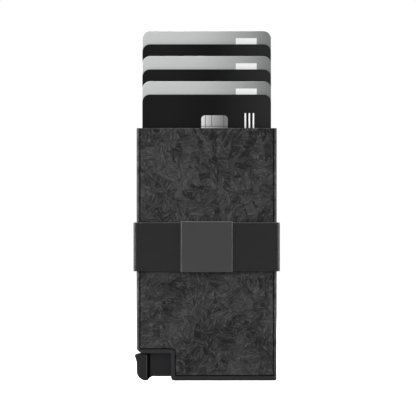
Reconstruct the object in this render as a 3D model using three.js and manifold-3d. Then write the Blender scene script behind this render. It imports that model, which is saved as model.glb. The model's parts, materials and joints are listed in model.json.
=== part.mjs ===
// A slim card wallet. A machined case with a composite panel on each face holds six cards, and a
// sprung trigger at the lower left turns a lever of six leaves that fans the cards out of the top.
// An elastic strap with a metal plate goes round the middle. Millimetres, +Z up, front towards -Y.
import * as THREE from "three";
import { mergeVertices } from "three/addons/utils/BufferGeometryUtils.js";
import Module from "manifold-3d";

const wasm = await Module();
wasm.setup();

// Case: two side rails joined by thin front and rear webs, open at the top.
const CASE = { halfWidth: 29.35, halfDepth: 4.8, height: 105.8, planCorner: 1.2, topCorner: 0.5 };
const RAIL = { edge: 28.2, foot: 1.9, chin: 1.2 }; // inner edge of the visible front strip, and its ends
const POCKET = { halfWidth: 27.4, halfDepth: 3.15 };
const WEB_FACE = 3.75; // outer face of the webs and of the end block
const WEB_FOOT = 20.1; // the webs stop here, above the end block
const PANEL = { halfWidth: 27.7, back: 3.8, foot: 2.3, notchEdge: -12.95, notchTop: 13.55 };

// End block: closes the bottom, frames the trigger's notch and carries the mechanism.
const NOTCH = { edge: -15, top: 11.5, left: -27.9 };
const RIM = { base: 1.87, edge: -13.4, top: 13.1, corner: 1.0, foot: 1.6 };
const TRAY = { left: -24.3, right: 24, farRight: 27.2, shelf: 12.3, floor: 13.3, top: 19.8 };
const CAVITY = 2.85; // half depth inside the end block
const COVER = { face: 2.9, gap: 0.25 };
const CHANNEL = { floor: 1.55, end: -0.7 };
const SPRING_WELL = { low: 3.9, high: 9.3, halfDepth: 2.5, end: 7.2 };
const SPRING_ROD = { start: -2.5, radius: 1.2, bore: 1.22, seat: 1.8 };

// Cards, rear card first: how far each lower edge stands above its stored height.
const CARD = { width: 53.98, height: 85.6, thick: 0.76, corner: 3.18, pitch: 0.88 };
const CARD_LIFTS = [41.1, 35.5, 30.5, 24.9, 19.85, 14.3];
const CARD_FLOOR = 20;
const CHIP = { left: -2.26, right: 8.86, drop: 8.7, height: 12, corner: 1.6, thick: 0.18 };

// Lever: a stack of leaves, one under each card, that turns about the pivot by SWING while the
// trigger slides by STROKE. One of the middle leaves carries the crank.
const PIVOT = { x: -21, z: 15, radius: 1.0, bore: 1.04, reach: 3.4, washer: 1.65 };
const STROKE = 8;
const SWING = THREE.MathUtils.degToRad(66);
const LEVER = { top: 19.4, under: 15.4, shoulder: 3, waist: 5, eye: 1.7, halfDepth: 2.6 };
const LEAF_GAP = 0.02; // between neighbouring leaves of the lever
const HEADROOM = 0.9; // between a raised leaf and its card
const CRANK = { leaf: 3, halfWidth: 1.2, end: 1.5, slot: 1.1 };
const DRIVE_PIN = { radius: 0.8, bore: 0.83, reach: 1.6 };
const RIVET = { radius: 0.5, bore: 0.53 };
const RIVETS = [
  { name: "leaf_rivet_inner", x: -16.5, z: 17.4 },
  { name: "leaf_rivet_outer", x: -6, z: 17.4 },
];

// Trigger: a thick head outside the case and a thin blade that slides into it.
const HEAD = { left: -29.37, right: -24.9, top: 11.2, foot: 0.1, heel: 3.8, halfDepth: 4.6 };
const BLADE = { end: -9, base: 1.75, top: 11.3, halfDepth: 2.7, overlap: 1.6 };
const LUG = { left: -13.2, width: 3.2, top: 12.6 };
const HEAD_GROOVE = { width: 1.2, halfDepth: 2.2 };
const YOKE = { side: 0.15, foot: 0.25, halfDepth: 1.7, swingHalf: 3.3 };
const SPRING_SEAT = { radius: 2.3, depth: 2 };

const SPRING = { z: 6.6, start: -10.9, end: 7, radius: 1.75, wire: 0.25, turns: 9 };
const SCREW = { head: 1.0, headHeight: 0.5, shank: 0.6, length: 4.5, socket: 0.45, thread: 0.65 };
const STRAP = { halfWidth: 30.65, halfDepth: 6, low: 45.8, high: 66.3, corner: 1.5, gap: 0.1 };
const PLATE = { halfWidth: 10.83, face: 6.45, low: 45.4, high: 66.75, thick: 0.4, lip: 4.95 };
const LEAF = { x: 13, halfWidth: 4, low: 40, high: 94, thick: 0.18, bow: 0.2 };
const LINER = { x: 16, halfWidth: 4, low: 52, high: 103, thick: 0.36 };

const OVER = 2; // how far a cutting tool runs past the face it opens
const ARC_STEPS = 6;

const MATERIALS = {
  composite: finish(0x343436, 0.45, 0.1),
  anodised: finish(0x303236, 0.5, 0.6),
  steel: finish(0x8b8d90, 0.35, 1.0),
  springSteel: finish(0x9a9da1, 0.3, 1.0),
  trigger: finish(0x29292a, 0.5, 0.4),
  strap: finish(0x2b2b2b, 0.75, 0.0),
  plate: finish(0x454646, 0.4, 0.9),
  liner: finish(0x1d1d1e, 0.9, 0.0),
  silverCard: finish(0xbdbfbf, 0.35, 0.3),
  blackCard: finish(0x1e1e1f, 0.4, 0.1),
  chip: finish(0xb5b7b8, 0.3, 0.9),
};

function finish(color, roughness, metalness) {
  return new THREE.MeshStandardMaterial({ color, roughness, metalness });
}

// Solids and shapes --------------------------------------------------------------------------

/** The solid inside a closed geometry. */
function solid(geometry) {
  geometry.deleteAttribute("normal");
  geometry.deleteAttribute("uv");
  const merged = mergeVertices(geometry, 1e-4);
  return new wasm.Manifold(
    new wasm.Mesh({
      numProp: 3,
      vertProperties: merged.attributes.position.array,
      triVerts: new Uint32Array(merged.index.array),
    }),
  );
}

/** A named mesh of a solid. */
function piece(name, body, material) {
  const { vertProperties, triVerts } = body.getMesh();
  const geometry = new THREE.BufferGeometry();
  geometry.setAttribute("position", new THREE.BufferAttribute(vertProperties, 3));
  geometry.setIndex(new THREE.BufferAttribute(triVerts, 1));
  geometry.computeVertexNormals();
  const mesh = new THREE.Mesh(geometry, material);
  mesh.name = name;
  return mesh;
}

function join(...bodies) {
  return bodies.reduce((whole, body) => whole.add(body));
}

function cut(body, ...tools) {
  return tools.reduce((rest, tool) => rest.subtract(tool), body);
}

/** A box between two opposite corners. */
function box(low, high) {
  const [width, depth, height] = high.map((value, i) => value - low[i]);
  const geometry = new THREE.BoxGeometry(width, depth, height);
  geometry.translate(...high.map((value, i) => (value + low[i]) / 2));
  return solid(geometry);
}

/** A round bar between two points. */
function rod(from, to, radius, sides = 24) {
  const start = new THREE.Vector3(...from);
  const run = new THREE.Vector3(...to).sub(start);
  const geometry = new THREE.CylinderGeometry(radius, radius, run.length(), sides);
  geometry.translate(0, run.length() / 2, 0);
  geometry.applyQuaternion(
    new THREE.Quaternion().setFromUnitVectors(new THREE.Vector3(0, 1, 0), run.normalize()),
  );
  geometry.translate(...from);
  return solid(geometry);
}

/** A round bar along Y between two depths, at one X and Z. */
function crossbar({ x, z }, from, to, radius) {
  return rod([x, from, z], [x, to, z], radius);
}

/** A closed outline through corners [u, v, radius], each with a radius rounded by an arc. */
function outline(corners) {
  const points = corners.flatMap(([u, v, radius = 0], i) => {
    const corner = new THREE.Vector2(u, v);
    if (radius === 0) return [corner];
    const toward = ([a, b]) => new THREE.Vector2(a, b).sub(corner).normalize();
    const back = toward(corners.at(i - 1));
    const ahead = toward(corners[(i + 1) % corners.length]);
    const half = back.angleTo(ahead) / 2;
    const centre = back.clone().add(ahead).setLength(radius / Math.sin(half)).add(corner);
    const start = back.clone().multiplyScalar(radius / Math.tan(half)).add(corner).sub(centre).angle();
    const sweep = Math.sign(ahead.cross(back)) * (Math.PI - 2 * half);
    return Array.from({ length: ARC_STEPS + 1 }, (_, k) => {
      const angle = start + (sweep * k) / ARC_STEPS;
      return new THREE.Vector2(Math.cos(angle), Math.sin(angle)).multiplyScalar(radius).add(centre);
    });
  });
  return new THREE.Shape(points);
}

/** A rectangle with one corner radius, as corners for outline(). */
function rectangle(left, right, low, high, radius) {
  return [
    [left, low, radius],
    [right, low, radius],
    [right, high, radius],
    [left, high, radius],
  ];
}

function prism(corners, depth, ...axes) {
  const geometry = new THREE.ExtrudeGeometry(outline(corners), { depth, bevelEnabled: false });
  const basis = axes.map((axis) => new THREE.Vector3(...axis));
  geometry.applyMatrix4(new THREE.Matrix4().makeBasis(...basis));
  return geometry;
}

/** An X-Z outline that fills from one Y to a greater one. */
function alongY(corners, from, to) {
  const geometry = prism(corners, to - from, [1, 0, 0], [0, 0, 1], [0, -1, 0]);
  return solid(geometry.translate(0, to, 0));
}

/** An X-Y outline that fills from one Z to a greater one. */
function alongZ(corners, from, to) {
  const geometry = prism(corners, to - from, [1, 0, 0], [0, 1, 0], [0, 0, 1]);
  return solid(geometry.translate(0, 0, from));
}

/** A Y-Z outline that fills from one X to a greater one. */
function alongX(corners, from, to) {
  const geometry = prism(corners, to - from, [0, 1, 0], [0, 0, 1], [1, 0, 0]);
  return solid(geometry.translate(from, 0, 0));
}

/** The case's plan, as a column: every piece at the outside is trimmed to it. */
function caseColumn() {
  const { halfWidth, halfDepth, planCorner, height } = CASE;
  const plan = rectangle(-halfWidth, halfWidth, -halfDepth, halfDepth, planCorner);
  return alongZ(plan, 0, height);
}

// Case ---------------------------------------------------------------------------------------

const BLOCK = { left: -24.6, right: 24.2, leftFoot: 13.13, leftTop: 19.7, rightTop: 12 };
const BASE_SCREWS = [
  { name: "base_screw_left", x: -26.45, z: NOTCH.top + 0.1 },
  { name: "base_screw_right", x: 26.2, z: 0.1 },
];

/** Side rails and webs in one tube, with a block low on each rail for a screw. */
function caseShell() {
  const { halfWidth, halfDepth, height, topCorner } = CASE;
  const silhouette = [
    [RAIL.edge, RAIL.foot],
    [halfWidth, RAIL.foot],
    [halfWidth, height, topCorner],
    [-halfWidth, height, topCorner],
    [-halfWidth, RIM.top],
    [-RAIL.edge, RIM.top - RAIL.chin],
    [-RAIL.edge, BLOCK.leftFoot],
    [0, BLOCK.leftFoot],
    [0, RAIL.foot],
  ];
  const front = -halfDepth - OVER;
  const back = halfDepth + OVER;
  const tube = caseColumn().intersect(alongY(silhouette, front, back));
  const frontRecess = box([-RAIL.edge, front, -OVER], [RAIL.edge, -WEB_FACE, height + OVER]);
  const rearRecess = box([-RAIL.edge, WEB_FACE, -OVER], [RAIL.edge, back, height + OVER]);
  const inside = POCKET.halfWidth;
  const pocket = box(
    [-inside, -POCKET.halfDepth, -OVER],
    [inside, POCKET.halfDepth, height + OVER],
  );
  const belowWebs = box([-inside, front, -OVER], [inside, back, WEB_FOOT]);
  const hollow = cut(tube, frontRecess, rearRecess, pocket, belowWebs);
  const root = inside + 0.2; // the blocks overlap the rails by this much
  const leftBlock = box([-root, -CAVITY, BLOCK.leftFoot], [BLOCK.left, CAVITY, BLOCK.leftTop]);
  const rightBlock = box([BLOCK.right, -CAVITY, RAIL.foot], [root, CAVITY, BLOCK.rightTop]);
  const threads = BASE_SCREWS.map(({ x, z }) => rod([x, 0, z], [x, 0, z + 6], SCREW.thread));
  return cut(join(hollow, leftBlock, rightBlock), ...threads);
}

/** A panel lies between the rails and round the notch's rim. */
function facePanel(side) {
  const corners = [
    [PANEL.notchEdge, PANEL.foot, 0.5],
    [PANEL.halfWidth, PANEL.foot],
    [PANEL.halfWidth, CASE.height],
    [-PANEL.halfWidth, CASE.height],
    [-PANEL.halfWidth, PANEL.notchTop],
    [PANEL.notchEdge, PANEL.notchTop, RIM.corner + 0.45],
  ];
  return side > 0
    ? alongY(corners, PANEL.back, CASE.halfDepth)
    : alongY(corners, -CASE.halfDepth, -PANEL.back);
}

/** A bowed strip between the rear web and the rear card. */
function leafSpring(x) {
  const { halfWidth, low, high, thick, bow } = LEAF;
  const back = POCKET.halfDepth - 0.03;
  const middle = (low + high) / 2;
  const strip = [
    [back, low],
    [back, high],
    [back - thick, high],
    [back - thick - bow, middle, 400],
    [back - thick, low],
  ];
  return alongX(strip, x - halfWidth, x + halfWidth);
}

/** A thin friction strip on the inside of the front web. */
function liner(x) {
  const corners = rectangle(x - LINER.halfWidth, x + LINER.halfWidth, LINER.low, LINER.high, 1.5);
  const back = -POCKET.halfDepth + 0.03;
  return alongY(corners, back, back + LINER.thick);
}

// End block ----------------------------------------------------------------------------------

const COVER_SCREWS = [
  { name: "cover_screw_left", x: 12.5, z: 7.5 },
  { name: "cover_screw_right", x: 20.5, z: 7.5 },
];

/** The end block: the visible rim, and behind the panels a tray that is open to the rear. */
function endBlock() {
  const rimCorners = [
    [NOTCH.left, NOTCH.top],
    [NOTCH.edge, NOTCH.top],
    [NOTCH.edge, 0, RIM.foot],
    [CASE.halfWidth, 0, 1],
    [CASE.halfWidth, RIM.base],
    [RIM.edge, RIM.base, 0.5],
    [RIM.edge, RIM.top, RIM.corner],
    [NOTCH.left, RIM.top],
  ];
  const trayCorners = [
    [TRAY.left, RIM.top - 0.2],
    [RIM.edge - 0.2, RIM.top - 0.2],
    [RIM.edge - 0.2, RIM.base - 0.2],
    [TRAY.right, RIM.base - 0.2],
    [TRAY.right, TRAY.shelf],
    [TRAY.farRight, TRAY.shelf],
    [TRAY.farRight, TRAY.top],
    [TRAY.left, TRAY.top],
  ];
  const front = -CASE.halfDepth - OVER;
  const rim = caseColumn().intersect(alongY(rimCorners, front, -front));
  const tray = alongY(trayCorners, -WEB_FACE, CAVITY);
  const pastRear = CAVITY + 0.5; // a little past the tray's open rear
  const leverBay = box(
    [TRAY.left - OVER, -CAVITY, TRAY.floor],
    [TRAY.farRight + OVER, CAVITY + OVER, TRAY.top + OVER],
  );
  const bladeSlot = box(
    [NOTCH.edge - OVER, -CAVITY, CHANNEL.floor],
    [CHANNEL.end, CAVITY, NOTCH.top],
  );
  const lugBay = box(
    [RIM.edge, -CAVITY, CHANNEL.floor],
    [CHANNEL.end, pastRear, TRAY.floor + OVER],
  );
  const well = box(
    [CHANNEL.end - OVER, -SPRING_WELL.halfDepth, SPRING_WELL.low],
    [SPRING_WELL.end, pastRear, SPRING_WELL.high],
  );
  const sweep = crankSweep();
  const crankSlot = box(
    [PIVOT.x - sweep, -CRANK.slot, NOTCH.top - OVER],
    [PIVOT.x + sweep, CRANK.slot, RIM.top + OVER],
  );
  const pivotHole = crossbar(PIVOT, -PIVOT.reach, 0, PIVOT.bore);
  const rodEnd = SPRING_WELL.end + SPRING_ROD.seat;
  const rodHole = rod([0, 0, SPRING.z], [rodEnd, 0, SPRING.z], SPRING_ROD.bore);
  const threads = COVER_SCREWS.map((at) => crossbar(at, CAVITY - 4, CAVITY + OVER, SCREW.thread));
  return cut(
    join(rim, tray),
    leverBay,
    bladeSlot,
    lugBay,
    well,
    crankSlot,
    pivotHole,
    rodHole,
    ...BASE_SCREWS.flatMap(({ x, z }) => screwHole([x, 0, z - 0.1], [0, 0, 1])),
    ...threads,
  );
}

/** Half the length of the slot that the swinging crank needs at the underside of the rim. */
function crankSweep() {
  const lean = SWING / 2;
  return Math.tan(lean) * (PIVOT.z - NOTCH.top) + CRANK.halfWidth / Math.cos(lean) + 0.2;
}

/** A screw's clearance hole and its counterbore, entered at a point along a direction. */
function screwHole(entry, direction) {
  const at = (distance) => entry.map((value, i) => value + direction[i] * distance);
  return [
    rod(at(-OVER), at(SCREW.length + OVER), SCREW.shank + 0.08),
    rod(at(-OVER), at(SCREW.headHeight + 0.15), SCREW.head + 0.08),
  ];
}

/** The plate that closes the tray from the rear, under the rear panel. */
function trayCover() {
  const left = TRAY.left + 0.1;
  const shelf = TRAY.shelf + 0.1;
  const corners = [
    [left, RIM.top + COVER.gap],
    [RIM.edge + 0.2, RIM.top + COVER.gap],
    [RIM.edge + 0.2, RIM.base + COVER.gap],
    [TRAY.right, RIM.base + COVER.gap],
    [TRAY.right, shelf],
    [TRAY.farRight, shelf],
    [TRAY.farRight, TRAY.top],
    [left, TRAY.top],
  ];
  return cut(
    alongY(corners, COVER.face, WEB_FACE),
    crossbar(PIVOT, 0, PIVOT.reach + 0.05, PIVOT.bore),
    ...COVER_SCREWS.flatMap(({ x, z }) => screwHole([x, WEB_FACE, z], [0, -1, 0])),
  );
}

/** A flat-headed socket screw, head at the origin and shank along +Z. */
function screwBody() {
  const { head, headHeight, shank, length, socket } = SCREW;
  const upright = (from, to, radius, sides) => rod([0, 0, from], [0, 0, to], radius, sides);
  return cut(
    join(upright(0, headHeight, head), upright(0, length, shank, 16)),
    upright(-OVER, headHeight * 0.7, socket, 6),
  );
}

function screws() {
  const upright = BASE_SCREWS.map(({ name, x, z }) => {
    const screw = piece(name, screwBody(), MATERIALS.steel);
    screw.position.set(x, 0, z);
    return screw;
  });
  const facing = COVER_SCREWS.map(({ name, x, z }) => {
    const screw = piece(name, screwBody(), MATERIALS.steel);
    screw.position.set(x, WEB_FACE - 0.05, z);
    screw.rotation.x = Math.PI / 2;
    return screw;
  });
  return [...upright, ...facing];
}

// Mechanism ----------------------------------------------------------------------------------

/** Where the crank's pin stands with the trigger at rest. */
function crankPin() {
  const lean = SWING / 2;
  const radius = STROKE / 2 / Math.sin(lean);
  return { x: PIVOT.x - STROKE / 2, z: PIVOT.z - radius * Math.cos(lean), lowest: PIVOT.z - radius };
}

/** How far a leaf reaches from the pivot, to end just under its raised card. */
function leafReach(lift) {
  const rise = CARD_FLOOR + lift - HEADROOM - PIVOT.z;
  return (rise - (LEVER.top - PIVOT.z) * Math.cos(SWING)) / Math.sin(SWING);
}

/** The Y that a leaf fills, under its card. */
function leafDepth(index) {
  const half = (CARD.pitch - LEAF_GAP) / 2;
  return [
    Math.max(cardY(index) - half, -LEVER.halfDepth),
    Math.min(cardY(index) + half, LEVER.halfDepth),
  ];
}

/** One leaf: an eye on the pivot and an arm that ends under its card. */
function leverLeaf(lift, index) {
  const [front, back] = leafDepth(index);
  const tip = PIVOT.x + leafReach(lift);
  const arm = [
    [PIVOT.x, PIVOT.z - LEVER.eye],
    [PIVOT.x + LEVER.waist, LEVER.under],
    [tip, LEVER.under, 0.4],
    [tip, LEVER.top, 0.8],
    [PIVOT.x + LEVER.shoulder, LEVER.top, 1],
    [PIVOT.x, PIVOT.z + LEVER.eye],
  ];
  const boss = (at, radius) => crossbar(at, front, back, radius);
  const bore = (at, radius) => crossbar(at, front - OVER, back + OVER, radius);
  const blank = join(alongY(arm, front, back), boss(PIVOT, LEVER.eye));
  const bores = [bore(PIVOT, PIVOT.bore), ...RIVETS.map((rivet) => bore(rivet, RIVET.bore))];
  if (index !== CRANK.leaf) return cut(blank, ...bores);
  const pin = crankPin();
  const withCrank = join(blank, crankArm(pin, front, back), boss(pin, CRANK.end));
  return cut(withCrank, ...bores, bore(pin, DRIVE_PIN.bore));
}

function leverLeaves() {
  return CARD_LIFTS.map((lift, i) =>
    piece(`lever_leaf_${i + 1}`, leverLeaf(lift, i), MATERIALS.steel),
  );
}

/** The flat bar from the eye's centre down to the crank's pin. */
function crankArm(pin, front, back) {
  const along = new THREE.Vector2(pin.x - PIVOT.x, pin.z - PIVOT.z).normalize();
  const side = new THREE.Vector2(-along.y, along.x).multiplyScalar(CRANK.halfWidth);
  const corners = [
    [PIVOT.x + side.x, PIVOT.z + side.y],
    [PIVOT.x - side.x, PIVOT.z - side.y],
    [pin.x - side.x, pin.z - side.y],
    [pin.x + side.x, pin.z + side.y],
  ];
  return alongY(corners, front, back);
}

/** The trigger: head and blade in one, with a yoke for the crank's pin and a seat for the spring. */
function triggerBody() {
  const pin = crankPin();
  const headCorners = [
    [HEAD.right - 0.1, HEAD.foot],
    [HEAD.right, HEAD.top, 0.25],
    [HEAD.left + 1.1, HEAD.top],
    [HEAD.left + 0.2, HEAD.top + 0.2, 0.3],
    [HEAD.left - 1, HEAD.top - 0.4, 0.5],
    [HEAD.left, HEAD.top - 3.6, 1.5],
    [HEAD.left, HEAD.foot, HEAD.heel],
  ];
  const root = HEAD.right - BLADE.overlap;
  const neck = HEAD.right + 0.05;
  const bladeCorners = [
    [root, HEAD.foot + 0.4],
    [neck, HEAD.foot],
    [neck, BLADE.base, BLADE.base - HEAD.foot - 0.01],
    [BLADE.end, BLADE.base],
    [BLADE.end, BLADE.top],
    [LUG.left + LUG.width, BLADE.top],
    [LUG.left + LUG.width, LUG.top],
    [LUG.left, LUG.top],
    [LUG.left, BLADE.top],
    [root, BLADE.top],
  ];
  const open = BLADE.top + OVER;
  const grooveEnd = HEAD.right + HEAD_GROOVE.width;
  const depth = BLADE.halfDepth + OVER;
  const yokeHalf = DRIVE_PIN.radius + YOKE.side;
  const yokeFoot = pin.lowest - DRIVE_PIN.radius - YOKE.foot;
  const swingFoot = pin.lowest - CRANK.end - YOKE.foot;
  const slot = (half, halfDepth, foot) =>
    box([pin.x - half, -halfDepth, foot], [pin.x + half, halfDepth, open]);
  const seatStart = BLADE.end - SPRING_SEAT.depth;
  return cut(
    join(
      alongY(headCorners, -HEAD.halfDepth, HEAD.halfDepth),
      alongY(bladeCorners, -BLADE.halfDepth, BLADE.halfDepth),
    ),
    box([HEAD.right, HEAD_GROOVE.halfDepth, -OVER], [grooveEnd, depth, open]),
    box([HEAD.right, -depth, -OVER], [grooveEnd, -HEAD_GROOVE.halfDepth, open]),
    slot(YOKE.swingHalf, CRANK.slot, swingFoot),
    slot(yokeHalf, YOKE.halfDepth, yokeFoot),
    rod([seatStart, 0, SPRING.z], [BLADE.end + OVER, 0, SPRING.z], SPRING_SEAT.radius),
  );
}

/** The centre line of a coil along X. */
class CoilLine extends THREE.Curve {
  getPoint(t, target = new THREE.Vector3()) {
    const angle = t * SPRING.turns * 2 * Math.PI;
    const x = THREE.MathUtils.lerp(SPRING.start + SPRING.wire, SPRING.end - SPRING.wire, t);
    return target.set(x, SPRING.radius * Math.cos(angle), SPRING.z + SPRING.radius * Math.sin(angle));
  }
}

function returnSpring() {
  const section = new THREE.Shape(
    Array.from({ length: 6 }, (_, k) => {
      const angle = (k * Math.PI) / 3;
      return new THREE.Vector2(Math.cos(angle), Math.sin(angle)).multiplyScalar(SPRING.wire);
    }),
  );
  const steps = SPRING.turns * 14;
  return solid(new THREE.ExtrudeGeometry(section, { steps, extrudePath: new CoilLine() }));
}

/** The lever's axle, a washer at each end of the stack, and the rivets through the leaves. */
function pivotParts() {
  const onPivot = (from, to, radius) => crossbar(PIVOT, from, to, radius);
  const washer = (from, to) =>
    cut(onPivot(from, to, PIVOT.washer), onPivot(from - OVER, to + OVER, PIVOT.bore));
  const end = LEVER.halfDepth;
  const riveted = RIVETS.map((rivet) =>
    piece(rivet.name, crossbar(rivet, -end, end, RIVET.radius), MATERIALS.steel),
  );
  return [
    piece("pivot_pin", onPivot(-PIVOT.reach + 0.05, PIVOT.reach, PIVOT.radius), MATERIALS.steel),
    piece("washer_front", washer(-CAVITY + 0.05, -end - 0.04), MATERIALS.steel),
    piece("washer_rear", washer(end + 0.04, CAVITY - 0.01), MATERIALS.steel),
    ...riveted,
  ];
}

function drivePin() {
  return crossbar(crankPin(), -DRIVE_PIN.reach, DRIVE_PIN.reach, DRIVE_PIN.radius);
}

function springRod() {
  const end = SPRING_WELL.end + SPRING_ROD.seat - 0.1;
  return rod([SPRING_ROD.start, 0, SPRING.z], [end, 0, SPRING.z], SPRING_ROD.radius);
}

// Cards --------------------------------------------------------------------------------------

/** The Y of a card's middle; card 0 is at the rear. */
function cardY(index) {
  return ((CARD_LIFTS.length - 1) / 2 - index) * CARD.pitch;
}

/** A card standing on its short edge, with a shallow seat for its chip in the front face. */
function cardBody() {
  const { width, height, corner, thick } = CARD;
  const blank = alongY(rectangle(-width / 2, width / 2, 0, height, corner), -thick / 2, thick / 2);
  const seat = alongY(chipOutline(0.04), -thick / 2 - OVER, -thick / 2 + CHIP.thick + 0.03);
  return cut(blank, seat);
}

function chipOutline(margin) {
  const top = CARD.height - CHIP.drop;
  const low = top - CHIP.height - margin;
  return rectangle(CHIP.left - margin, CHIP.right + margin, low, top + margin, CHIP.corner);
}

function cards() {
  const front = -CARD.thick / 2;
  return CARD_LIFTS.map((lift, i) => {
    const holder = new THREE.Group();
    holder.position.set(0, cardY(i), CARD_FLOOR + lift);
    const look = i % 2 === 0 ? MATERIALS.silverCard : MATERIALS.blackCard;
    holder.add(piece(`card_${i + 1}`, cardBody(), look));
    const chip = alongY(chipOutline(0), front, front + CHIP.thick);
    holder.add(piece(`chip_${i + 1}`, chip, MATERIALS.chip));
    return holder;
  });
}

// Strap --------------------------------------------------------------------------------------

function strapBand() {
  const { halfWidth, halfDepth, low, high, corner, gap } = STRAP;
  const inner = { x: CASE.halfWidth + gap, y: CASE.halfDepth + gap };
  const outside = rectangle(-halfWidth, halfWidth, -halfDepth, halfDepth, corner);
  const inside = rectangle(-inner.x, inner.x, -inner.y, inner.y, CASE.planCorner);
  return cut(alongZ(outside, low, high), alongZ(inside, low - OVER, high + OVER));
}

/** A folded plate over the front of the strap, with a lip above and below it. */
function strapPlate() {
  const { halfWidth, face, low, high, thick, lip } = PLATE;
  const corners = [
    [-face, low, 0.25],
    [-lip, low],
    [-lip, low + thick - 0.05],
    [thick - face, low + thick - 0.05],
    [thick - face, high - thick],
    [-lip, high - thick],
    [-lip, high],
    [-face, high, 0.25],
  ];
  return alongX(corners, -halfWidth, halfWidth);
}

// Assembly -----------------------------------------------------------------------------------

const wallet = new THREE.Group();
wallet.position.y = (PLATE.face - STRAP.halfDepth) / 2; // centres the whole depth on the origin
wallet.add(
  piece("case_shell", caseShell(), MATERIALS.anodised),
  piece("front_panel", facePanel(-1), MATERIALS.composite),
  piece("rear_panel", facePanel(1), MATERIALS.composite),
  piece("leaf_spring_left", leafSpring(-LEAF.x), MATERIALS.springSteel),
  piece("leaf_spring_right", leafSpring(LEAF.x), MATERIALS.springSteel),
  piece("liner_left", liner(-LINER.x), MATERIALS.liner),
  piece("liner_right", liner(LINER.x), MATERIALS.liner),
  piece("end_block", endBlock(), MATERIALS.anodised),
  piece("tray_cover", trayCover(), MATERIALS.steel),
  ...screws(),
  ...pivotParts(),
  ...leverLeaves(),
  piece("drive_pin", drivePin(), MATERIALS.steel),
  piece("trigger", triggerBody(), MATERIALS.trigger),
  piece("return_spring", returnSpring(), MATERIALS.springSteel),
  piece("spring_rod", springRod(), MATERIALS.steel),
  ...cards(),
  piece("strap", strapBand(), MATERIALS.strap),
  piece("strap_plate", strapPlate(), MATERIALS.plate),
);

export default wallet;
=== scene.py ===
"""Slim card wallet: its case, trigger, cards and strap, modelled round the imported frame."""

import json
import math

import bpy
from bpy.props import FloatProperty, FloatVectorProperty, PointerProperty
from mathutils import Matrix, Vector

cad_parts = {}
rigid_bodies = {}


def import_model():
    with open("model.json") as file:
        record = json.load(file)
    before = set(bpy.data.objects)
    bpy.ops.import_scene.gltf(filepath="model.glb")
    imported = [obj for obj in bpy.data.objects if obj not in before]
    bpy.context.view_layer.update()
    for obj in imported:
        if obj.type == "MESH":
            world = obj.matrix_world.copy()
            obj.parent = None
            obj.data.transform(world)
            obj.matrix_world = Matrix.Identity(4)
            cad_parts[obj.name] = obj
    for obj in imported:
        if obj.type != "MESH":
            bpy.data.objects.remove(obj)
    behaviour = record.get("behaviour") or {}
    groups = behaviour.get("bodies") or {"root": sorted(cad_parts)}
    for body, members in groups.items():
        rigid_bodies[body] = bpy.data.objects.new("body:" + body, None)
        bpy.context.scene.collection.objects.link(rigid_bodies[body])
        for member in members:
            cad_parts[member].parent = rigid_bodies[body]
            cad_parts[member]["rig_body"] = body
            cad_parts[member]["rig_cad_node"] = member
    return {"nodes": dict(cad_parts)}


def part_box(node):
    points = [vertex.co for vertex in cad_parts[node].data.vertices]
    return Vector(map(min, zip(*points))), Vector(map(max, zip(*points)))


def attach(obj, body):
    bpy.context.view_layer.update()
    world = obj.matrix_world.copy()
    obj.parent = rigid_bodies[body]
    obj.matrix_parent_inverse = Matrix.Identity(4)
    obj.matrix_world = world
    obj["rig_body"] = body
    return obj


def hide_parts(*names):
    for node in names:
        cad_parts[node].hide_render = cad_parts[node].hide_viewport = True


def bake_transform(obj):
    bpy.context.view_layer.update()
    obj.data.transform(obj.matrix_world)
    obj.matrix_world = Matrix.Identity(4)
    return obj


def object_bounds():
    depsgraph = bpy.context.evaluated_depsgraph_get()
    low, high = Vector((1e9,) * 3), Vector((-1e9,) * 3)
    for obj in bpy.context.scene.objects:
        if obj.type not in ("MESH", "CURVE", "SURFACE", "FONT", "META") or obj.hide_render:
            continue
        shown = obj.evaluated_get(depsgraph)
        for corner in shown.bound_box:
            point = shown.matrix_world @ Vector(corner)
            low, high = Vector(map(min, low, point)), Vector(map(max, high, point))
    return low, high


bl_info = {
    "name": "Slim Card Wallet",
    "version": (1, 0, 0),
    "blender": (4, 5, 0),
    "location": "3D View > Sidebar > Wallet",
    "description": "Models a slim card wallet round its packed frame",
    "category": "Add Mesh",
}

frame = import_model()
cad_low, cad_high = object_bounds()

MM = 0.001
CARD_COUNT = 6
CARD_NAMES = [f"card_{number}" for number in range(1, CARD_COUNT + 1)]
CASE_LOW, CASE_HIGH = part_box("case_shell")
MIDDLE = (CASE_LOW + CASE_HIGH) / 2  # the case's centre line runs up through its X and Y
OVER = 2 * MM  # how far a cutting tool runs past what it cuts


# Sizes and colours ---------------------------------------------------------------------------


def length(name, description, millimetres):
    return FloatProperty(
        name=name,
        description=description,
        default=millimetres * MM,
        min=0.0,
        unit="LENGTH",
        precision=5,
    )


def colour(name, description, red, green, blue):
    return FloatVectorProperty(
        name=name,
        description=description,
        default=(red, green, blue, 1.0),
        size=4,
        min=0.0,
        max=1.0,
        subtype="COLOR",
    )


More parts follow.
